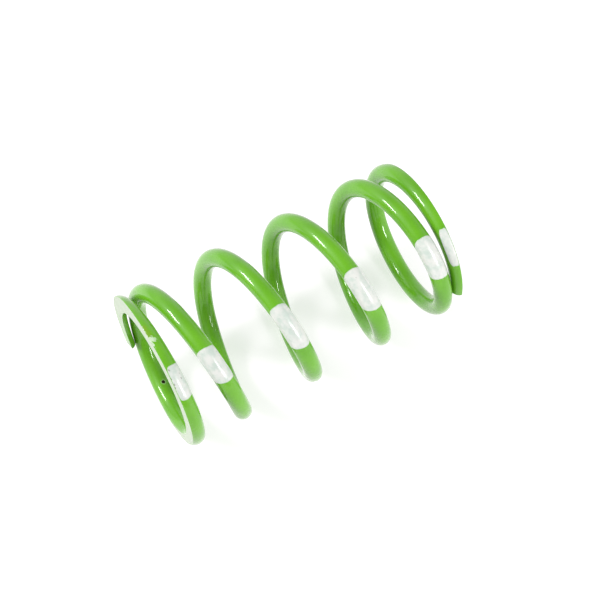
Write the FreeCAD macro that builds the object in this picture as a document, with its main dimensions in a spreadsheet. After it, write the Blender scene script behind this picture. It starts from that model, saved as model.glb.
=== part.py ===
import FreeCAD, Part
import math
import os

import Sketcher
from FreeCAD import Placement, Rotation, Vector

# A closed and ground helical compression spring, wound right-handed from round wire, lying on
# its side: +X runs along the spring's axis from the first ground end to the last, +Z is up.
# The origin is on the axis, in the plane of the first ground end.
#
# A "turn" is a place along the wire, counted in turns from the wire's first tip. The wire is
# cut by planes through the axis, so neighbouring pieces meet face to face and can slide along
# the axis past each other, which is how the coils close up.

doc = FreeCAD.newDocument("coil_spring")

# ---------------------------------------------------------------- driving dimensions (mm, turns)

DIMENSIONS = [
    ("inner_diameter", 63.5, "bore, slides over the spring perch"),
    ("wire_diameter", 9.4, "round wire"),
    ("free_length", 152.4, "over the two ground ends"),
    ("total_turns", 5.598, "tip to tip"),
    ("closed_pitch", 7.9, "axial advance of an end turn, before the rise"),
    ("first_closed_turns", 0.63, "turns at the first end wound at the closed pitch"),
    ("first_rise_turns", 0.911, "turns over which the pitch opens from closed to full"),
    ("first_tip_thickness", 3.0, "wire left at the tip after grinding"),
    ("last_closed_turns", 0.655, "the same three sizes of the last end"),
    ("last_rise_turns", 0.805, ""),
    ("last_tip_thickness", 3.6, ""),
    ("start_angle", -35.6, "degrees about +X from +Y to the wire's first tip"),
    ("quarter_turns", 0.25, "length of one working piece"),
    ("first_cut_turn", 1.335, "end of the first end coil"),
    ("mark_wrap", 232.0, "degrees of the wire's section that the paint covers"),
    ("last_mark_start", -65.0, "degrees from outward where the last mark begins"),
    ("mark_film", 0.12, "paint thickness"),
    ("mark_clearance", 0.01, "between the paint and the coated wire"),
]

# The paint marks are dabbed on by hand, so each has its own place and length.
MARKS = [(0.460, 16.0), (1.4635, 17.5), (2.4655, 22.1), (3.467, 21.3), (4.475, 21.3), (5.472, 18.6)]
for number, (turn, length) in enumerate(MARKS, start=1):
    DIMENSIONS.append(("mark_%d_turn" % number, turn, "middle of the paint mark"))
    DIMENSIONS.append(("mark_%d_length" % number, length, "along the wire's centre line"))

sheet = doc.addObject("Spreadsheet::Sheet", "Dimensions")
for row, (alias, number, note) in enumerate(DIMENSIONS, start=1):
    sheet.set("A%d" % row, alias)
    sheet.set("B%d" % row, str(number))
    sheet.setAlias("B%d" % row, alias)
    sheet.set("C%d" % row, note)
doc.recompute()


def dimension(alias):
    return float(sheet.get(alias))


WIRE_RADIUS = dimension("wire_diameter") / 2
MEAN_RADIUS = dimension("inner_diameter") / 2 + WIRE_RADIUS
OUTER_RADIUS = MEAN_RADIUS + WIRE_RADIUS
TOTAL_TURNS = dimension("total_turns")
CLOSED_PITCH = dimension("closed_pitch")
FIRST_CLOSED = dimension("first_closed_turns")
FIRST_RISE = dimension("first_rise_turns")
FIRST_GROUND_DEPTH = WIRE_RADIUS - dimension("first_tip_thickness")
LAST_CLOSED = dimension("last_closed_turns")
LAST_RISE = dimension("last_rise_turns")
LAST_GROUND_DEPTH = WIRE_RADIUS - dimension("last_tip_thickness")
QUARTER = dimension("quarter_turns")

# The same sizes as expressions, for the objects that are bound to the sheet.
MEAN_RADIUS_CELL = "(Dimensions.inner_diameter + Dimensions.wire_diameter) / 2"
GRINDING_WIDTH_CELL = "(Dimensions.inner_diameter + 4 * Dimensions.wire_diameter)"
OPEN_TURNS_CELL = (
    "(Dimensions.total_turns - Dimensions.first_closed_turns - Dimensions.last_closed_turns"
    " - (Dimensions.first_rise_turns + Dimensions.last_rise_turns) / 2)"
)
GROUND_CELL = (
    "(Dimensions.wire_diameter - Dimensions.first_tip_thickness - Dimensions.last_tip_thickness)"
)
ACTIVE_PITCH_CELL = (
    "Dimensions.closed_pitch + (Dimensions.free_length + " + GROUND_CELL
    + " - Dimensions.closed_pitch * Dimensions.total_turns) / " + OPEN_TURNS_CELL
)


# ---------------------------------------------------------------- pitch law

def rise(turns, rise_turns):
    """Turns of full pitch that an end has opened to, this many turns into its smooth rise."""
    share = turns / rise_turns
    if share <= 0:
        return 0.0
    if share >= 1:
        return turns - rise_turns / 2
    return rise_turns * (share ** 3 - share ** 4 / 2)


def open_turns(turn):
    """Turns of full pitch between the first tip and this turn; the closed turns add none."""
    far_end = TOTAL_TURNS - LAST_CLOSED
    after_first = rise(turn - FIRST_CLOSED, FIRST_RISE)
    before_last = rise(far_end, LAST_RISE) - rise(far_end - turn, LAST_RISE)
    return after_first + before_last - turn


CENTRE_LENGTH = dimension("free_length") + FIRST_GROUND_DEPTH + LAST_GROUND_DEPTH
ACTIVE_PITCH = CLOSED_PITCH + (CENTRE_LENGTH - CLOSED_PITCH * TOTAL_TURNS) / open_turns(TOTAL_TURNS)


def axial(turn):
    """X of the wire's centre at this turn, with the first ground end at zero."""
    opened = (ACTIVE_PITCH - CLOSED_PITCH) * open_turns(turn)
    return CLOSED_PITCH * turn + opened - FIRST_GROUND_DEPTH


# ---------------------------------------------------------------- building blocks

def on_axis(x, degrees):
    """A helix drawn about its own Z, put on the spring's axis and turned about it."""
    z_to_x = Rotation(Vector(1, 1, 1), 120)
    return Placement(Vector(x, 0, 0), Rotation(Vector(1, 0, 0), degrees) * z_to_x)


def wire_path(from_turn, to_turn):
    """The wire's centre line at its varying pitch, about Z, from angle 0 and height 0."""
    cylinder = Part.Cylinder()
    cylinder.Radius = MEAN_RADIUS
    steps = max(8, math.ceil(24 * (to_turn - from_turn)))
    points = []
    for step in range(steps + 1):
        turn = from_turn + (to_turn - from_turn) * step / steps
        angle = 2 * math.pi * (turn - from_turn)
        points.append(FreeCAD.Base.Vector2d(angle, axial(turn) - axial(from_turn)))
    line = Part.Geom2d.BSplineCurve2d()
    line.interpolate(points)
    return Part.Wire([line.toShape(cylinder)])


def sweep(section, from_turn, to_turn):
    """Sweep a section drawn in the plane through the axis, keeping it in such a plane."""
    pipe = Part.BRepOffsetAPI.MakePipeShell(wire_path(from_turn, to_turn))
    pipe.setBiNormalMode(Vector(0, 0, 1))
    pipe.add(section, False, False)
    pipe.build()
    pipe.makeSolid()
    return pipe.shape()


def round_section():
    circle = Part.Circle(Vector(MEAN_RADIUS, 0, 0), Vector(0, 1, 0), WIRE_RADIUS)
    return Part.Wire([circle.toShape()])


def film_section(start_degrees, finish_degrees):
    """A band round the outer side of the wire, as thick as the paint; degrees are from outward."""
    inner = WIRE_RADIUS + dimension("mark_clearance")
    outer = inner + dimension("mark_film")
    start, finish = math.radians(start_degrees), math.radians(finish_degrees)

    def point(radius, angle):
        return Vector(MEAN_RADIUS + radius * math.cos(angle), 0, radius * math.sin(angle))

    outer_arc = Part.Arc(point(outer, start), point(outer, 0), point(outer, finish))
    inner_arc = Part.Arc(point(inner, finish), point(inner, 0), point(inner, start))
    finish_edge = Part.LineSegment(point(outer, finish), point(inner, finish))
    start_edge = Part.LineSegment(point(inner, start), point(outer, start))
    return Part.Wire([edge.toShape() for edge in (outer_arc, finish_edge, inner_arc, start_edge)])


def swept_piece(name, section, from_turn, to_turn):
    """A length of wire or paint whose pitch varies along it."""
    piece = doc.addObject("Part::Feature", name)
    piece.Shape = sweep(section, from_turn, to_turn)
    piece.Placement = on_axis(axial(from_turn), dimension("start_angle") + 360 * from_turn)
    return piece


# ---------------------------------------------------------------- sub-parts

SIDES = ["upper_front", "lower_front", "lower_back", "upper_back"]
WORKING_QUARTERS = 12
# Where the grinding box starts, so that it takes what lies past each end.
FIRST_GROUND_X = "-Dimensions.wire_diameter"
LAST_GROUND_X = "Dimensions.free_length"


def ground_flat(name, blank, ground_x):
    """Cut off what stands past an end of the spring, leaving it flat and square to the axis."""
    ground_off = doc.addObject("Part::Box", name + "_ground_off")
    ground_off.setExpression("Length", "Dimensions.wire_diameter")
    ground_off.setExpression("Width", GRINDING_WIDTH_CELL)
    ground_off.setExpression("Height", GRINDING_WIDTH_CELL)
    ground_off.setExpression("Placement.Base.x", ground_x)
    ground_off.setExpression("Placement.Base.y", "-" + GRINDING_WIDTH_CELL + " / 2")
    ground_off.setExpression("Placement.Base.z", "-" + GRINDING_WIDTH_CELL + " / 2")
    piece = doc.addObject("Part::Cut", name)
    piece.Base = blank
    piece.Tool = ground_off
    return piece


def end_coil(name, from_turn, to_turn, ground_x):
    """A closed end coil and its rise, with the ground end."""
    return ground_flat(name, swept_piece(name + "_wire", round_section(), from_turn, to_turn), ground_x)


def working_quarter(name, from_turn):
    """A quarter turn of the working coils, where the pitch is constant."""
    body = doc.addObject("PartDesign::Body", name)
    doc.recompute()
    radial_plane = [plane for plane in body.Origin.OriginFeatures if plane.Role == "XZ_Plane"][0]
    section = body.newObject("Sketcher::SketchObject", name + "_section")
    section.AttachmentSupport = [(radial_plane, "")]
    section.MapMode = "FlatFace"
    section.addGeometry(Part.Circle(Vector(MEAN_RADIUS, 0, 0), Vector(0, 0, 1), WIRE_RADIUS))
    section.addConstraint(Sketcher.Constraint("PointOnObject", 0, 3, -1))
    section.addConstraint(Sketcher.Constraint("DistanceX", -1, 1, 0, 3, MEAN_RADIUS))
    section.addConstraint(Sketcher.Constraint("Diameter", 0, 2 * WIRE_RADIUS))
    section.setExpression("Constraints[1]", MEAN_RADIUS_CELL)
    section.setExpression("Constraints[2]", "Dimensions.wire_diameter")
    doc.recompute()
    wire = body.newObject("PartDesign::AdditiveHelix", name + "_wire")
    wire.Profile = section
    wire.ReferenceAxis = (section, ["V_Axis"])
    wire.Mode = "pitch-turns-angle"
    wire.setExpression("Pitch", ACTIVE_PITCH_CELL)
    wire.setExpression("Turns", "Dimensions.quarter_turns")
    body.Placement = on_axis(axial(from_turn), dimension("start_angle") + 360 * from_turn)
    return body


def paint_mark(number):
    """One of the painted marks that stand in a line along the spring, one on each coil."""
    name = "paint_mark_%d" % number
    middle = dimension("mark_%d_turn" % number)
    half_length = dimension("mark_%d_length" % number) / (2 * math.pi * MEAN_RADIUS) / 2
    span = (middle - half_length, middle + half_length)
    half_wrap = dimension("mark_wrap") / 2
    if number == len(MARKS):
        band = film_section(dimension("last_mark_start"), half_wrap)
        return ground_flat(name, swept_piece(name + "_film", band, *span), LAST_GROUND_X)
    band = film_section(-half_wrap, half_wrap)
    if number == 1:
        return ground_flat(name, swept_piece(name + "_film", band, *span), FIRST_GROUND_X)
    return swept_piece(name, band, *span)


FIRST_CUT = dimension("first_cut_turn")
parts = [end_coil("first_end_coil", 0, FIRST_CUT, FIRST_GROUND_X)]
for quarter in range(WORKING_QUARTERS):
    start = FIRST_CUT + quarter * QUARTER
    side = SIDES[quarter % 4]
    coil_number = 2 + (quarter + 1) // 4
    piece_name = "coil_%d_%s" % (coil_number, side)
    if start >= FIRST_CLOSED + FIRST_RISE and start + QUARTER <= TOTAL_TURNS - LAST_CLOSED - LAST_RISE:
        parts.append(working_quarter(piece_name, start))
    else:
        parts.append(swept_piece(piece_name, round_section(), start, start + QUARTER))
LAST_CUT = FIRST_CUT + WORKING_QUARTERS * QUARTER
parts.append(end_coil("last_end_coil", LAST_CUT, TOTAL_TURNS, LAST_GROUND_X))
for number in range(1, len(MARKS) + 1):
    parts.append(paint_mark(number))

doc.recompute()

# ---------------------------------------------------------------- check and write

for obj in doc.Objects:
    if "Invalid" in obj.State or "Error" in obj.State:
        raise RuntimeError("%s did not recompute: %s" % (obj.Label, obj.State))
for part in parts:
    if part.Shape.isNull() or not part.Shape.isValid():
        raise RuntimeError("%s has no valid shape" % part.Label)

os.makedirs("parts", exist_ok=True)
for part in parts:
    part.Shape.exportStep("parts/%s.step" % part.Label)
    print("%-22s %9.1f mm3  %d solid" % (part.Label, part.Shape.Volume, len(part.Shape.Solids)))
print("active pitch %.2f mm, outer diameter %.1f mm" % (ACTIVE_PITCH, 2 * OUTER_RADIUS))
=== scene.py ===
import math

import bpy
from mathutils import Matrix, Vector


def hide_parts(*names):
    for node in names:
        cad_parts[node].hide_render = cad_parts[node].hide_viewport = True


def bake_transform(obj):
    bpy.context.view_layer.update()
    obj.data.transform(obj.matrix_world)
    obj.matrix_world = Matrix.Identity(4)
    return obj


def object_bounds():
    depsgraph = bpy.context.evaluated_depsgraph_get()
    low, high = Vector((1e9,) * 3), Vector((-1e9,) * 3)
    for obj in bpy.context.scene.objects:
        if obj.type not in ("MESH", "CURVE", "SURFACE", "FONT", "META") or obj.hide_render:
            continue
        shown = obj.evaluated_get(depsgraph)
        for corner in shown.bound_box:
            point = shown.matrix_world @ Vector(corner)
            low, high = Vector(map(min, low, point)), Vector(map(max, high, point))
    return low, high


# A green powder-coated coil spring lying on its side, with six white paint marks. The frame is
# the part's: +X along the spring's axis from the first ground end, +Z up, in metres.
# A "turn" is a place along the wire, counted in turns from the wire's first tip.

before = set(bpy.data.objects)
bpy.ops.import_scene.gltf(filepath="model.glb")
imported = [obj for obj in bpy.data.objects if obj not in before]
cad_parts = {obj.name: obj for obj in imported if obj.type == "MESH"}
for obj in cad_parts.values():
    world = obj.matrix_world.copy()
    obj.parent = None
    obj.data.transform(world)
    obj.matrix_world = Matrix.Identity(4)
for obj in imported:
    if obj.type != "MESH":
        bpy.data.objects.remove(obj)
cad_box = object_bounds()

MM = 0.001

# ------------------------------------------------------------------ the spring's own dimensions

FREE_LENGTH = cad_box[1].x - cad_box[0].x
OUTER_RADIUS = (cad_box[1].z - cad_box[0].z) / 2
WIRE_RADIUS = 4.7 * MM
MEAN_RADIUS = OUTER_RADIUS - WIRE_RADIUS
TOTAL_TURNS = 5.598
CLOSED_PITCH = 7.9 * MM
START_ANGLE = -35.6
FIRST_CLOSED, FIRST_RISE, FIRST_TIP_THICKNESS = 0.63, 0.911, 3.0 * MM
LAST_CLOSED, LAST_RISE, LAST_TIP_THICKNESS = 0.655, 0.805, 3.6 * MM
FIRST_GROUND_DEPTH = WIRE_RADIUS - FIRST_TIP_THICKNESS
LAST_GROUND_DEPTH = WIRE_RADIUS - LAST_TIP_THICKNESS

FIRST_CUT = 1.335
QUARTER = 0.25
SIDES = ["upper_front", "lower_front", "lower_back", "upper_back"]
WORKING_QUARTERS = 12


def smooth(share):
    """From 0 to 1 without a kink, and level outside that range."""
    share = min(1.0, max(0.0, share))
    return share * share * (3 - 2 * share)


def rise(turns, rise_turns):
    """Turns of full pitch that an end has opened to, this many turns into its smooth rise."""
    share = turns / rise_turns
    if share <= 0:
        return 0.0
    if share >= 1:
        return turns - rise_turns / 2
    return rise_turns * (share ** 3 - share ** 4 / 2)


def open_turns(turn):
    """Turns of full pitch between the first tip and this turn; the closed turns add none."""
    far_end = TOTAL_TURNS - LAST_CLOSED
    after_first = rise(turn - FIRST_CLOSED, FIRST_RISE)
    before_last = rise(far_end, LAST_RISE) - rise(far_end - turn, LAST_RISE)
    return after_first + before_last - turn


ALL_OPEN_TURNS = open_turns(TOTAL_TURNS)
CENTRE_LENGTH = FREE_LENGTH + FIRST_GROUND_DEPTH + LAST_GROUND_DEPTH
ACTIVE_PITCH = CLOSED_PITCH + (CENTRE_LENGTH - CLOSED_PITCH * TOTAL_TURNS) / ALL_OPEN_TURNS


def axial(turn):
    """X of the wire's centre at this turn."""
    opened = (ACTIVE_PITCH - CLOSED_PITCH) * open_turns(turn)
    return CLOSED_PITCH * turn + opened - FIRST_GROUND_DEPTH


RATE_STEP = 1e-4


def axial_rate(turn):
    """How fast the wire advances along X, in metres per turn."""
    return (axial(turn + RATE_STEP) - axial(turn - RATE_STEP)) / (2 * RATE_STEP)


def around(turn):
    """The angle about +X, from +Y, of the wire at this turn."""
    return math.radians(START_ANGLE) + 2 * math.pi * turn


def in_space(turn, along_x, outward):
    """A point of the section at this turn: along_x and outward are measured from its centre."""
    angle = around(turn)
    radius = MEAN_RADIUS + outward
    return (axial(turn) + along_x, radius * math.cos(angle), radius * math.sin(angle))


def turned(turn, along_x, outward, along_wire):
    """A direction of the section's frame at this turn, as a unit vector."""
    angle = around(turn)
    return Vector((
        along_x,
        outward * math.cos(angle) - along_wire * math.sin(angle),
        outward * math.sin(angle) + along_wire * math.cos(angle),
    )).normalized()


# ------------------------------------------------------------------ the wire's section
# Round wire, cut flat by an end's ground plane where it reaches it, with the cut's two corners
# rounded. A ring has the same number of points everywhere: two groups that hold the flats, one
# on each side along X, joined by the round sides.

CORNER_RADIUS, LEAST_CORNER_RADIUS = 0.22 * MM, 0.03 * MM
CORNER_STEPS = 4
# Where a group's points lie on the flat, as shares of its half width.
CHORD_SHARES = [0.0, 0.38, 0.76]
# Where the rounded corner's points are gathered once the flat has run out.
CORNER_SHARES_FROM = 0.95
SIDE_STEPS = 22
# Half of a group's angle where the flat runs out, and where the wire is round again, and the
# turns between the two.
LEAST_CUT_ANGLE = math.radians(6)
FREE_GROUP_ANGLE = math.radians(26)
SPREAD_TURNS = 0.08
# Turns from a tip over which the ground face's painted reflection, a paler green, sets in.
TIP_COLOUR_TURNS = (0.04, 0.13)


def cut_height(turn, at_last_end):
    """How far the wire's centre is from an end's ground plane, towards the spring's middle."""
    return FREE_LENGTH - axial(turn) if at_last_end else axial(turn)


def cut_half_angle(height, radius, corner):
    """Half of the angle that a flat at this height takes out of the section."""
    share = (height - corner) / (radius - corner)
    return math.acos(max(-1.0, min(1.0, share)))


CUT_LIMIT_HEIGHT = CORNER_RADIUS + (WIRE_RADIUS - CORNER_RADIUS) * math.cos(LEAST_CUT_ANGLE)
FLAT_SEARCH_STEP = 0.0005


def from_tip(distance, at_last_end):
    """The turn that is this many turns from an end's tip."""
    return TOTAL_TURNS - distance if at_last_end else distance


def flat_turns(at_last_end):
    """How many turns an end's ground flat runs for, from its tip."""
    distance = 0.0
    while cut_height(from_tip(distance, at_last_end), at_last_end) < CUT_LIMIT_HEIGHT:
        distance += FLAT_SEARCH_STEP
    return distance


FIRST_FLAT_TURNS, LAST_FLAT_TURNS = flat_turns(False), flat_turns(True)


def group_points(turn, at_last_end, inset):
    """(away, side, normal away, normal side, side rate, flatness) from the middle of a side's
    flat to where the round side begins, and the angle there. Away points out of the end."""
    radius = WIRE_RADIUS - inset
    corner = max(CORNER_RADIUS - inset, LEAST_CORNER_RADIUS)
    height = cut_height(turn, at_last_end) - inset
    distance = TOTAL_TURNS - turn if at_last_end else turn
    made = []
    cut_limit = LAST_FLAT_TURNS if at_last_end else FIRST_FLAT_TURNS
    if distance <= cut_limit:
        # The flatness value carries where the ground face's painted reflection is laid on, as
        # well as its duller finish.
        pale_from, pale_to = TIP_COLOUR_TURNS
        pale = smooth((distance - pale_from) / (pale_to - pale_from))
        rate = axial_rate(turn) * (-1 if at_last_end else 1)
        half_angle = cut_half_angle(height, radius, corner)
        reach = (radius - corner) * math.sin(half_angle)
        reach_rate = -(height - corner) * rate / max(reach, 1e-9)
        for share in CHORD_SHARES:
            made.append((height, share * reach, 1.0, 0.0, 0.0, pale))
        for step in range(CORNER_STEPS + 1):
            normal = half_angle * step / CORNER_STEPS
            away, side = math.cos(normal), math.sin(normal)
            place = (height - corner + corner * away, reach + corner * side)
            made.append((*place, away, side, reach_rate, pale / 2 if step == 0 else 0.0))
        return made, half_angle
    spread = smooth((distance - cut_limit) / SPREAD_TURNS)
    end_angle = LEAST_CUT_ANGLE + spread * (FREE_GROUP_ANGLE - LEAST_CUT_ANGLE)
    count = len(CHORD_SHARES) + CORNER_STEPS
    for index in range(count + 1):
        if index < len(CHORD_SHARES):
            tight = CHORD_SHARES[index]
        else:
            along_corner = (index - len(CHORD_SHARES)) / CORNER_STEPS
            tight = CORNER_SHARES_FROM + (1 - CORNER_SHARES_FROM) * along_corner
        share = tight + spread * (index / count - tight)
        angle = share * end_angle
        away, side = math.cos(angle), math.sin(angle)
        place = (min(radius * away, max(height, 0.0)), radius * side)
        made.append((*place, away, side, 0.0, 0.0))
    return made, end_angle


def section(turn, inset=0.0):
    """The ring at this turn: (point, normal, flatness) for each of its points."""
    first, first_angle = group_points(turn, False, inset)
    last, last_angle = group_points(turn, True, inset)
    half = [(-a, s, -na, ns, rate, f) for a, s, na, ns, rate, f in first]
    radius = WIRE_RADIUS - inset
    for step in range(1, SIDE_STEPS):
        angle = first_angle + (math.pi - last_angle - first_angle) * step / SIDE_STEPS
        away, side = math.cos(angle), math.sin(angle)
        half.append((-radius * away, radius * side, -away, side, 0.0, 0.0))
    half += reversed(last)
    inner = [(a, -s, na, -ns, -rate, f) for a, s, na, ns, rate, f in reversed(half[1:-1])]
    ring = []
    lead = axial_rate(turn)
    for along_x, outward, normal_x, normal_out, side_rate, flatness in half + inner:
        on_flat = flatness > 0 or side_rate != 0
        x_rate = 0.0 if on_flat else lead
        sweep = 2 * math.pi * (MEAN_RADIUS + outward)
        slope = x_rate * normal_x + side_rate * normal_out
        normal = turned(turn, sweep * normal_x, sweep * normal_out, -slope)
        ring.append((in_space(turn, along_x, outward), normal, flatness))
    return ring


# ------------------------------------------------------------------ damage
# A chip in the coat at the first ground face's outer edge, and a pit on the inner side of the
# first coil. Each is (turn, section angle in degrees, length, width, depth).

WIRE_PER_TURN = 2 * math.pi * MEAN_RADIUS
CHIP = (0.371, -5.0, 3.0 * MM, 2.1 * MM, 0.2 * MM)
PIT = (0.8885, 170.0, 1.1 * MM, 1.0 * MM, 0.5 * MM)
DAMAGE = (CHIP, PIT)
SLOPE_STEP = 0.05 * MM


def section_place(turn, degrees):
    """A place on the wire as the materials see it: along the wire, then across the section."""
    angle = math.radians(degrees)
    return (turn * WIRE_PER_TURN, WIRE_RADIUS * math.sin(angle), WIRE_RADIUS * math.cos(angle))


def hollow(turn, along_x, outward):
    """How deep the damage is at a place on the wire."""
    deepest = 0.0
    here = (turn * WIRE_PER_TURN, along_x, outward)
    for at_turn, degrees, length, width, depth in DAMAGE:
        along, *across = [a - b for a, b in zip(here, section_place(at_turn, degrees))]
        distance = math.hypot(along / length, math.hypot(*across) / width)
        deepest = max(deepest, depth * (1 - smooth(distance)))
    return deepest


def worn(turn, point, normal):
    """A point of the wire's surface and its normal, after the damage."""
    place = (turn, point[0] - axial(turn), math.hypot(point[1], point[2]) - MEAN_RADIUS)
    depth = hollow(*place)
    if depth == 0:
        return point, normal
    slopes = []
    for moves in ((SLOPE_STEP / WIRE_PER_TURN, 0, 0), (0, SLOPE_STEP, 0), (0, 0, SLOPE_STEP)):
        ahead = hollow(*[a + b for a, b in zip(place, moves)])
        behind = hollow(*[a - b for a, b in zip(place, moves)])
        slopes.append((ahead - behind) / (2 * SLOPE_STEP))
    along, across, out = slopes
    c, s = math.cos(around(turn)), math.sin(around(turn))
    slope = Vector((across, out * c - along * s, out * s + along * c))
    slope -= normal * slope.dot(normal)
    return tuple(Vector(point) - depth * normal), (normal + slope).normalized()


# ------------------------------------------------------------------ meshes

def add_mesh(name, points, faces, values):
    """A smooth mesh with the named values at its points."""
    mesh = bpy.data.meshes.new(name)
    mesh.from_pydata(points, [], faces)
    for attribute_name, (kind, numbers) in values.items():
        attribute = mesh.attributes.new(attribute_name, kind, "POINT")
        key = "vector" if kind == "FLOAT_VECTOR" else "value"
        attribute.data.foreach_set(key, numbers)
    mesh.polygons.foreach_set("use_smooth", [True] * len(faces))
    obj = bpy.data.objects.new(name, mesh)
    bpy.context.scene.collection.objects.link(obj)
    return obj


def follow_compression(obj):
    """Bakes the piece's placement into its mesh, so that it sits at the world origin."""
    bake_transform(obj)


TIP_BEVEL = 0.55 * MM
TIP_BEVEL_STEPS = 5
# The bevel's last ring stays just short of square to the wire.
STEEPEST_BEVEL = math.radians(89)
# Rings on each side of a damaged place, and how far past it, in its lengths, the others keep off.
DAMAGE_STEPS = 12
DAMAGE_ROOM = 1.05
# Rings are never closer together than this, in turns.
LEAST_RING_GAP = 1e-4


def even_stations(from_turn, to_turn, degrees):
    """(turn, inset, bevel angle) of each ring, closer together where the wire is damaged."""
    count = max(2, math.ceil((to_turn - from_turn) * 360 / degrees))
    turns = [from_turn + (to_turn - from_turn) * i / count for i in range(count + 1)]
    for at_turn, _, length, _, _ in DAMAGE:
        if from_turn < at_turn < to_turn:
            reach = length / WIRE_PER_TURN
            turns = [turn for turn in turns if abs(turn - at_turn) > reach * DAMAGE_ROOM]
            for step in range(-DAMAGE_STEPS, DAMAGE_STEPS + 1):
                turns.append(at_turn + reach * step / DAMAGE_STEPS)
    return [(turn, 0.0, None) for turn in sorted(turns)]


def tip_bevel(turn, direction):
    """Rings that round the edge of a sawn tip, from its face back to the full section."""
    rings = []
    for step in range(TIP_BEVEL_STEPS + 1):
        angle = math.pi / 2 * (1 - step / TIP_BEVEL_STEPS)
        back = TIP_BEVEL * (1 - math.sin(angle)) / WIRE_PER_TURN
        inset = TIP_BEVEL * (1 - math.cos(angle))
        rings.append((turn + direction * back, inset, angle))
    return rings


def wire_stations(from_turn, to_turn, degrees):
    """The rings of a length of wire, with a tip's bevel where it ends in one."""
    stations = even_stations(from_turn, to_turn, degrees)
    if from_turn <= 0:
        bevel = tip_bevel(0.0, 1)
        stations = bevel + [s for s in stations if s[0] > bevel[-1][0] + LEAST_RING_GAP]
    if to_turn >= TOTAL_TURNS:
        bevel = tip_bevel(TOTAL_TURNS, -1)
        stations = [s for s in stations if s[0] < bevel[-1][0] - LEAST_RING_GAP] + bevel[::-1]
    return stations


def wire_piece(name, from_turn, to_turn, degrees):
    """A length of wire, closed at both ends, shaded as one with the lengths it meets."""
    stations = wire_stations(from_turn, to_turn, degrees)
    points, normals, flats, turns, places = [], [], [], [], []
    for turn, inset, bevel_angle in stations:
        ring = section(turn, inset)
        size = len(ring)
        towards_tip = -1 if turn < TOTAL_TURNS / 2 else 1
        end_direction = turned(turn, 0, 0, towards_tip)
        for point, normal, flatness in ring:
            if bevel_angle is not None:
                tilt = min(bevel_angle, STEEPEST_BEVEL)
                normal = (normal * math.cos(tilt) + end_direction * math.sin(tilt)).normalized()
            outward = math.hypot(point[1], point[2]) - MEAN_RADIUS
            places += [turn * WIRE_PER_TURN, point[0] - axial(turn), outward]
            point, normal = worn(turn, point, normal)
            points.append(point)
            normals.append(normal)
            flats.append(flatness)
            turns.append(turn)
    faces, corner_normals = [], []
    rings = len(stations)
    for i in range(rings - 1):
        for j in range(size):
            k = (j + 1) % size
            face = (i * size + j, (i + 1) * size + j, (i + 1) * size + k, i * size + k)
            faces.append(face)
            corner_normals.append([normals[v] for v in face])
    for i, away in ((0, -1), (rings - 1, 1)):
        turn = stations[i][0]
        facing = turned(turn, 0, 0, away)
        ring = range(i * size, (i + 1) * size)
        hub = len(points)
        middle = [sum(points[v][axis] for v in ring) / size for axis in range(3)]
        points.append(middle)
        flats.append(0.0)
        turns.append(turn)
        outward = math.hypot(middle[1], middle[2]) - MEAN_RADIUS
        places += [turn * WIRE_PER_TURN, middle[0] - axial(turn), outward]
        for j in range(size):
            a, b = i * size + j, i * size + (j + 1) % size
            faces.append((hub, a, b) if away < 0 else (hub, b, a))
            corner_normals.append([facing] * 3)
    values = {"flat": ("FLOAT", flats), "place": ("FLOAT_VECTOR", places)}
    obj = add_mesh(name, points, faces, values)
    rim = set(range(size)) | set(range((rings - 1) * size, rings * size))
    sharp = []
    for edge in obj.data.edges:
        a, b = edge.vertices
        sharp.append(a in rim and b in rim and a // size == b // size)
    obj.data.attributes.new("sharp_edge", "BOOLEAN", "EDGE").data.foreach_set("value", sharp)
    obj.data.normals_split_custom_set([tuple(n) for corners in corner_normals for n in corners])
    follow_compression(obj)
    return obj


# ------------------------------------------------------------------ paint marks

# Each dab's middle, in turns, and its length over the outside of the coil.
MARKS = [
    (0.4605, 18.0 * MM), (1.4635, 19.8 * MM), (2.4655, 25.0 * MM),
    (3.467, 24.0 * MM), (4.475, 24.0 * MM), (5.472, 21.0 * MM),
]
# How far round the section the paint reaches; on the last coil it starts nearer the outside.
MARK_HALF_WRAP = math.radians(116)
LAST_MARK_START = math.radians(-64)
# The paint's thickness, at its thinnest and away from its edge, and its gap to the coat.
MARK_EDGE_FILM, MARK_FILM = 0.02 * MM, 0.12 * MM
MARK_GAP = 0.012 * MM
MARK_EDGE = 0.9 * MM
# Ridges in the paint that follow its outline: their height as a share, and how many.
RIDGE_SHARE, RIDGE_RATE = 0.12, 23
# The outline's power: 2 is an ellipse, and it gets squarer with more. A side that meets a ground
# face is cut off nearly square.
START_ROUNDNESS, FINISH_ROUNDNESS, CUT_ROUNDNESS = 2.4, 3.6, 9.0
OUTLINE_WOBBLE = 0.02
MARK_SPOKES = 120
# Where the mesh's rings lie, from the middle to the edge, closer where the paint thins out.
MARK_RINGS = [
    0.15, 0.3, 0.44, 0.56, 0.66, 0.74, 0.81, 0.86, 0.9, 0.93, 0.955, 0.975, 0.99, 1.0,
]
# The waves of the outline's unevenness: (how many round it, size, phase).
WOBBLE_WAVES = [(3, 0.34, 1.7), (5, 0.3, 4.1), (9, 0.24, 2.3), (14, 0.18, 5.9), (23, 0.14, 0.7)]


def wobble(angle, seed):
    """A smooth closed unevenness of about one, different for each seed."""
    return sum(
        size * math.sin(waves * angle + phase * (seed + 1) + seed)
        for waves, size, phase in WOBBLE_WAVES
    )


def mark_range(turn, number):
    """The part of the section, in degrees about its centre from outward, that paint can reach."""
    low, high = -MARK_HALF_WRAP, MARK_HALF_WRAP
    if number == 1:
        angle = cut_half_angle(cut_height(turn, False), WIRE_RADIUS, CORNER_RADIUS)
        low = max(low, angle - math.pi / 2)
    if number == len(MARKS):
        angle = cut_half_angle(cut_height(turn, True), WIRE_RADIUS, CORNER_RADIUS)
        low, high = LAST_MARK_START, min(high, math.pi / 2 - angle)
    return low, high


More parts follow.
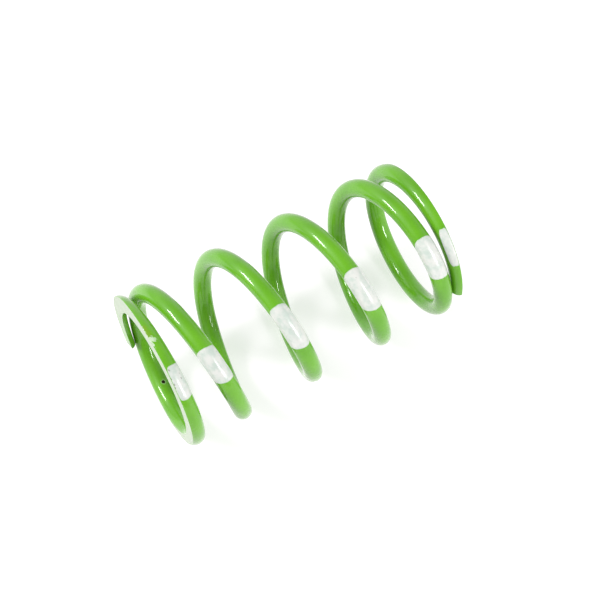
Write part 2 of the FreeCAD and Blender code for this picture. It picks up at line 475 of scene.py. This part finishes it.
def paint_mark(number):
    """A dab of white paint over the outer side of a coil, thin and uneven at its edge."""
    middle_turn, length = MARKS[number - 1]
    half_length = length / 2 / (2 * math.pi * OUTER_RADIUS)
    points, turns, films, places = [], [], [], []

    def add(share, angle, lift, edge_share):
        c, s = math.cos(angle), math.sin(angle)
        cut_side = (number == 1 and s < 0) or (number == len(MARKS) and s > 0)
        power = CUT_ROUNDNESS if cut_side else START_ROUNDNESS if c < 0 else FINISH_ROUNDNESS
        reach = share * (1 + OUTLINE_WOBBLE * wobble(angle, number))
        reach /= (abs(c) ** power + abs(s) ** power) ** (1 / power)
        along, across = reach * c, reach * s
        turn = middle_turn + along * half_length
        low, high = mark_range(turn, number)
        wrap = low + (min(1.0, max(-1.0, across)) + 1) / 2 * (high - low)
        offset = WIRE_RADIUS + lift
        along_x, outward = offset * math.sin(wrap), offset * math.cos(wrap)
        points.append(in_space(turn, along_x, outward))
        turns.append(turn)
        films.append(edge_share)
        places.extend([turn * WIRE_PER_TURN, along_x, outward])

    mean_reach = (WIRE_RADIUS + OUTER_RADIUS * half_length * 2 * math.pi) / 2
    for outer in (True, False):
        for share in MARK_RINGS:
            edge_share = smooth((1 - share) * mean_reach / MARK_EDGE)
            ridges = 1 + RIDGE_SHARE * math.sin(share * RIDGE_RATE + number)
            film = MARK_EDGE_FILM + (MARK_FILM - MARK_EDGE_FILM) * edge_share * ridges
            for spoke in range(MARK_SPOKES):
                angle = 2 * math.pi * (spoke + 0.5) / MARK_SPOKES
                add(share, angle, MARK_GAP + film if outer else MARK_GAP, edge_share)
        add(0.0, 0.0, MARK_GAP + MARK_FILM if outer else MARK_GAP, 1.0)
    rings = len(MARK_RINGS)
    per_side = rings * MARK_SPOKES + 1
    faces = []
    for base, flip in ((0, False), (per_side, True)):
        hub = base + per_side - 1
        made = []
        for spoke in range(MARK_SPOKES):
            following = (spoke + 1) % MARK_SPOKES
            made.append((hub, base + spoke, base + following))
            for ring in range(rings - 1):
                a, b = base + ring * MARK_SPOKES, base + (ring + 1) * MARK_SPOKES
                made.append((a + spoke, b + spoke, b + following, a + following))
        faces += [f[::-1] for f in made] if flip else made
    rim = (rings - 1) * MARK_SPOKES
    for spoke in range(MARK_SPOKES):
        following = (spoke + 1) % MARK_SPOKES
        faces.append((rim + spoke, per_side + rim + spoke,
                      per_side + rim + following, rim + following))
    values = {"film": ("FLOAT", films), "place": ("FLOAT_VECTOR", places)}
    obj = add_mesh("white_mark_%d" % number, points, faces, values)
    follow_compression(obj)
    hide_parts("paint_mark_%d" % number)
    return obj


# ------------------------------------------------------------------ materials

class Nodes:
    """Short calls that add and join the nodes of one material or world."""

    def __init__(self, tree):
        self.tree = tree
        tree.nodes.clear()

    def add(self, kind, **settings):
        node = self.tree.nodes.new(kind)
        inputs = settings.pop("inputs", {})
        for key, value in settings.items():
            setattr(node, key, value)
        for key, value in inputs.items():
            self.put(node.inputs[key], value)
        return node

    def put(self, socket, value):
        if isinstance(value, bpy.types.NodeSocket):
            self.tree.links.new(value, socket)
        else:
            socket.default_value = value

    def attribute(self, name, output="Fac"):
        return self.add("ShaderNodeAttribute", attribute_name=name).outputs[output]

    def noise(self, vector, scale, detail=2.0, roughness=0.5):
        node = self.add("ShaderNodeTexNoise", inputs={
            "Vector": vector, "Scale": scale, "Detail": detail, "Roughness": roughness})
        return node.outputs["Fac"]

    def spread(self, value, low, high, to_low=0.0, to_high=1.0):
        node = self.add("ShaderNodeMapRange", interpolation_type="SMOOTHSTEP", inputs={
            "Value": value, "From Min": low, "From Max": high,
            "To Min": to_low, "To Max": to_high})
        return node.outputs["Result"]

    def math(self, operation, a, b=0.0):
        node = self.add("ShaderNodeMath", operation=operation)
        self.put(node.inputs[0], a)
        self.put(node.inputs[1], b)
        return node.outputs[0]

    def vector(self, operation, a, b=None, output="Vector"):
        node = self.add("ShaderNodeVectorMath", operation=operation)
        self.put(node.inputs[0], a)
        if b is not None:
            self.put(node.inputs[1], b)
        return node.outputs[output]

    def mix(self, share, a, b):
        node = self.add("ShaderNodeMix", data_type="RGBA")
        self.put(node.inputs["Factor"], share)
        self.put(node.inputs["A"], a)
        self.put(node.inputs["B"], b)
        return node.outputs["Result"]


def linear(red, green, blue):
    """An sRGB colour, 0 to 255, as the linear colour that the shaders take."""
    def one(value):
        value /= 255
        return value / 12.92 if value <= 0.04045 else ((value + 0.055) / 1.055) ** 2.4
    return (one(red), one(green), one(blue), 1.0)


def new_material(name):
    material = bpy.data.materials.new(name)
    material.use_nodes = True
    return material, Nodes(material.node_tree)


# The coat where it is untouched and in its deeper patches, and a paler green on the ground faces
# that is painted reflection of the bright surroundings.
GREEN = linear(97, 160, 34)
GREEN_DEEP = linear(89, 152, 29)
GROUND_FACE_PAINTED_REFLECTION = linear(134, 156, 118)
# What the damage shows, and the paint where it is thick, thin and specked.
BARE = linear(186, 204, 176)
RUST = linear(140, 112, 42)
GOUGE = linear(70, 96, 56)
PIT_DARK = linear(30, 22, 6)
WHITE = linear(201, 202, 197)
WHITE_THIN = linear(178, 190, 181)
SPECK = linear(84, 92, 70)

# Patches of the wire's surface: (turn, section angle in degrees, length, width).
TINGE = (0.352, -10.0, 4.0 * MM, 1.6 * MM)
SCRATCH = (0.392, -50.0, 4.5 * MM, 0.45 * MM)
CHIPPED_EDGE = (0.377, -12.0, 1.8 * MM, 0.4 * MM)
CHIPPED = (0.3675, -8.0, 1.1 * MM, 1.3 * MM)
FLAKE = (0.3705, 8.0, 1.1 * MM, 1.0 * MM)
PIT_RIM = (*PIT[:2], 1.6 * MM, 1.4 * MM)
PIT_HOLE = (*PIT[:2], 1.05 * MM, 0.95 * MM)
# Where a patch ends, in its own lengths and widths from its middle.
PATCH_EDGE = (1.15, 0.85)


def spot(n, place, noise, turn, degrees, length, width):
    """One inside an uneven patch of the wire's surface, zero outside it."""
    away = n.vector("SUBTRACT", place, section_place(turn, degrees))
    away = n.vector("MULTIPLY", away, (1 / length, 1 / width, 1 / width))
    distance = n.vector("LENGTH", away, output="Value")
    return n.spread(n.math("ADD", distance, noise), *PATCH_EDGE)


def cover(n, colour, mask, most, over):
    """The colour with another over it where the mask is, at most this much."""
    return n.mix(n.math("MULTIPLY", mask, most), colour, over)


def finish(n, shader):
    output = n.add("ShaderNodeOutputMaterial")
    n.put(output.inputs["Surface"], shader)


def green_coat():
    """Glossy green powder coat with its damage, duller on the ground faces, where a paler green
    is painted in as their reflection of the bright surroundings.
    """
    material, n = new_material("green_powder_coat")
    place = n.attribute("place", "Vector")
    flat = n.attribute("flat")

    ragged = n.spread(n.noise(place, 1100.0, 3.0, 0.6), 0.25, 0.75, -0.55, 0.55)
    slightly_ragged = n.math("MULTIPLY", ragged, 0.4)
    tinge = spot(n, place, ragged, *TINGE)
    scratch = spot(n, place, ragged, *SCRATCH)
    chipped_edge = spot(n, place, ragged, *CHIPPED_EDGE)
    chip = n.math("MAXIMUM", spot(n, place, ragged, *CHIPPED), chipped_edge)
    chip = n.math("MAXIMUM", chip, n.math("MULTIPLY", spot(n, place, ragged, *FLAKE), 0.75))
    rim = spot(n, place, slightly_ragged, *PIT_RIM)
    pit = spot(n, place, slightly_ragged, *PIT_HOLE)

    patches = n.spread(n.noise(place, 60.0, 2.0), 0.35, 0.65)
    # The ground faces are painted a paler green: a painted reflection of the bright surroundings
    # at a grazing angle.
    colour = cover(n, n.mix(patches, GREEN, GREEN_DEEP), flat, 0.9, GROUND_FACE_PAINTED_REFLECTION)
    colour = cover(n, colour, tinge, 0.22, RUST)
    colour = cover(n, colour, scratch, 0.6, GOUGE)
    colour = cover(n, colour, chip, 0.85, BARE)
    colour = cover(n, colour, rim, 0.3, BARE)
    colour = n.mix(pit, colour, PIT_DARK)

    peel = n.noise(place, 520.0, 2.0, 0.45)
    swell = n.noise(place, 130.0, 1.0)
    height = n.math("ADD", peel, n.math("MULTIPLY", swell, 1.5))
    height = n.math("SUBTRACT", height, n.math("MULTIPLY", chip, 3.0))
    bump = n.add("ShaderNodeBump", inputs={
        "Strength": 0.02, "Distance": 0.00003, "Height": height})

    bare = n.math("MULTIPLY", n.math("MAXIMUM", n.math("MULTIPLY", chip, 0.8), pit), 0.85)
    dull = n.math("MULTIPLY", n.math("MAXIMUM", flat, bare), 0.15)
    roughness = n.math("ADD", n.spread(n.noise(place, 240.0), 0.3, 0.7, 0.24, 0.32), dull)
    shader = n.add("ShaderNodeBsdfPrincipled", inputs={
        "Base Color": colour, "Roughness": roughness, "IOR": 1.5, "Specular IOR Level": 0.08,
        "Coat Weight": n.math("SUBTRACT", 0.85, bare), "Coat Roughness": 0.09, "Coat IOR": 1.45,
        "Normal": bump.outputs["Normal"]})
    finish(n, shader.outputs["BSDF"])
    return material


# Dark specks on the first mark: (turn, section angle in degrees).
MARK_SPECKS = [(0.432, -7.0), (0.448, -20.0), (0.455, 36.0), (0.466, -22.0), (0.460, -18.0)]
SPECK_LENGTH, SPECK_WIDTH = 0.5 * MM, 0.4 * MM


def white_paint():
    """Hand-dabbed white paint, thin at its edge, so that the green shows through there."""
    material, n = new_material("white_mark_paint")
    place = n.attribute("place", "Vector")
    film = n.attribute("film")

    # Small specks come more often on the side that faces the spring's last end.
    across = n.vector("DOT_PRODUCT", place, (0.0, 1 / WIRE_RADIUS, 0.0), output="Value")
    more = n.spread(across, 0.35, 0.95, 0.0, 0.07)
    specks = n.math("ADD", n.noise(place, 900.0, 3.0, 0.6), more)
    marked = n.math("MULTIPLY", n.spread(specks, 0.71, 0.77), 0.75)
    ragged = n.spread(n.noise(place, 1500.0, 2.0), 0.25, 0.75, -0.4, 0.4)
    for turn, degrees in MARK_SPECKS:
        speck = spot(n, place, ragged, turn, degrees, SPECK_LENGTH, SPECK_WIDTH)
        marked = n.math("MAXIMUM", marked, n.math("MULTIPLY", speck, 0.6))

    mottle = n.spread(n.noise(place, 260.0, 3.0, 0.6), 0.35, 0.7)
    colour = n.mix(mottle, WHITE, WHITE_THIN)
    colour = n.mix(n.spread(film, 0.0, 0.35, 0.4, 0.0), colour, GREEN)
    colour = n.mix(marked, colour, SPECK)
    bump = n.add("ShaderNodeBump", inputs={
        "Strength": 0.4, "Distance": 0.00006, "Height": n.noise(place, 420.0, 3.0, 0.55)})
    shader = n.add("ShaderNodeBsdfPrincipled", inputs={
        "Base Color": colour, "Roughness": 0.3, "IOR": 1.48,
        "Coat Weight": 0.25, "Coat Roughness": 0.15, "Normal": bump.outputs["Normal"]})
    finish(n, shader.outputs["BSDF"])
    return material


def floor_material():
    """A white sweep that is lit from below as well, so that shadows on it stay faint."""
    material, n = new_material("pale_floor")
    matt = n.add("ShaderNodeBsdfDiffuse", inputs={"Color": (0.5, 0.42, 0.51, 1.0)})
    glow = n.add("ShaderNodeEmission", inputs={"Color": (0.55, 0.61, 0.54, 1.0)})
    both = n.add("ShaderNodeAddShader")
    n.put(both.inputs[0], matt.outputs["BSDF"])
    n.put(both.inputs[1], glow.outputs["Emission"])
    finish(n, both.outputs["Shader"])
    return material


# ------------------------------------------------------------------ the spring

coat_material = green_coat()
paint_material = white_paint()

# Degrees of winding from one ring to the next.
END_STEP, WORKING_STEP = 1.25, 1.875

last_cut = FIRST_CUT + WORKING_QUARTERS * QUARTER
lengths = [("first_end_coil", 0.0, FIRST_CUT, END_STEP)]
for quarter in range(WORKING_QUARTERS):
    start = FIRST_CUT + quarter * QUARTER
    node = "coil_%d_%s" % (2 + (quarter + 1) // 4, SIDES[quarter % 4])
    lengths.append((node, start, start + QUARTER, WORKING_STEP))
lengths.append(("last_end_coil", last_cut, TOTAL_TURNS, END_STEP))
for node, start, end, degrees in lengths:
    piece = wire_piece("wire_" + node, start, end, degrees)
    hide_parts(node)
    piece.data.materials.append(coat_material)
for number in range(1, len(MARKS) + 1):
    paint_mark(number).data.materials.append(paint_material)

# ------------------------------------------------------------------ floor, light and camera

FLOOR_HALF = 3.0
floor_z = cad_box[0].z
floor_corners = [
    (-FLOOR_HALF, -FLOOR_HALF, floor_z), (FLOOR_HALF, -FLOOR_HALF, floor_z),
    (FLOOR_HALF, FLOOR_HALF, floor_z), (-FLOOR_HALF, FLOOR_HALF, floor_z),
]
floor_mesh = bpy.data.meshes.new("floor")
floor_mesh.from_pydata(floor_corners, [], [(0, 1, 2, 3)])
floor = bpy.data.objects.new("floor", floor_mesh)
bpy.context.scene.collection.objects.link(floor)
floor_mesh.materials.append(floor_material())

spring_middle = (cad_box[0] + cad_box[1]) / 2


def direction(azimuth, elevation):
    """Azimuth 0 is in front of the spring, at -Y, and 90 at +X."""
    a, e = math.radians(azimuth), math.radians(elevation)
    return Vector((math.sin(a) * math.cos(e), -math.cos(a) * math.cos(e), math.sin(e)))


CAMERA_RIGHT = Vector((0.85913, -0.51177, 0.0))
CAMERA_UP = Vector((0.44377, 0.74497, 0.49808))
CAMERA_BACK = Vector((-0.25490, -0.42791, 0.86713))
CAMERA_AT = Vector((-0.090901, -0.291339, 0.586832))
SENSOR_WIDTH, LENS = 36.0, 81.48
CLIP_START, CLIP_END = 0.01, 20.0

# Two long lights give the streaks along the wire. Their length lies along STRIP_LINE.
STRIP_LINE = CAMERA_RIGHT * 0.6 - CAMERA_UP * 0.8
STRIP_DISTANCE = 0.9
STRIP_WIDTH = 0.17


def strip_box(name, azimuth, elevation, length, power):
    """A long light that faces the spring from STRIP_DISTANCE away."""
    back = direction(azimuth, elevation)
    light = bpy.data.lights.new(name, "AREA")
    light.shape = "RECTANGLE"
    light.size, light.size_y = length, STRIP_WIDTH
    light.energy = power
    lamp = bpy.data.objects.new(name, light)
    along = (STRIP_LINE - back * back.dot(STRIP_LINE)).normalized()
    lamp.matrix_world = Matrix((along, back.cross(along), back)).transposed().to_4x4()
    lamp.location = spring_middle + back * STRIP_DISTANCE
    bpy.context.scene.collection.objects.link(lamp)


strip_box("left_strip", azimuth=-114, elevation=34, length=0.34, power=5.9)
strip_box("front_strip", azimuth=20, elevation=26, length=0.32, power=6.1)

# The studio's soft light, as broad glows: (azimuth, elevation, strength). High up, on the side of
# the camera and above the spring, it stays dim.
GLOWS = [
    (-180, 10, 0.76), (0, 10, 0.2), (45, 10, 1.4), (90, 10, 0.74), (135, 10, 1.16),
    (-180, 35, 0.18), (-120, 35, 1.75), (-90, 35, 0.8), (-120, 58, 0.14), (60, 58, 0.3),
]
GLOW_SHARPNESS = 7.0

world = bpy.data.worlds.new("studio")
bpy.context.scene.world = world
world.use_nodes = True
w = Nodes(world.node_tree)
seen_way = w.add("ShaderNodeTexCoord").outputs["Generated"]
shine = 0.0
for azimuth, elevation, strength in GLOWS:
    near = w.vector("DOT_PRODUCT", seen_way, direction(azimuth, elevation), output="Value")
    near = w.math("MULTIPLY", w.math("SUBTRACT", near, 1.0), GLOW_SHARPNESS)
    shine = w.math("ADD", shine, w.math("MULTIPLY", w.math("EXPONENT", near), strength))
# The camera itself sees plain white past the floor.
seen_directly = w.add("ShaderNodeLightPath").outputs["Is Camera Ray"]
level = w.add("ShaderNodeMix", data_type="FLOAT", inputs={
    "Factor": seen_directly, "A": shine, "B": 1.0})
sky = w.add("ShaderNodeBackground", inputs={
    "Color": (1.0, 1.0, 1.0, 1.0), "Strength": level.outputs["Result"]})
world_output = w.add("ShaderNodeOutputWorld")
w.put(world_output.inputs["Surface"], sky.outputs["Background"])

camera_data = bpy.data.cameras.new("camera")
camera_data.sensor_width, camera_data.lens = SENSOR_WIDTH, LENS
camera_data.clip_start, camera_data.clip_end = CLIP_START, CLIP_END
camera = bpy.data.objects.new("camera", camera_data)
camera_pose = Matrix((CAMERA_RIGHT, CAMERA_UP, CAMERA_BACK)).transposed().to_4x4()
camera_pose.translation = CAMERA_AT
camera.matrix_world = camera_pose
bpy.context.scene.collection.objects.link(camera)
bpy.context.scene.camera = camera

bpy.context.scene.view_settings.view_transform = "Standard"
bpy.context.scene.view_settings.look = "None"
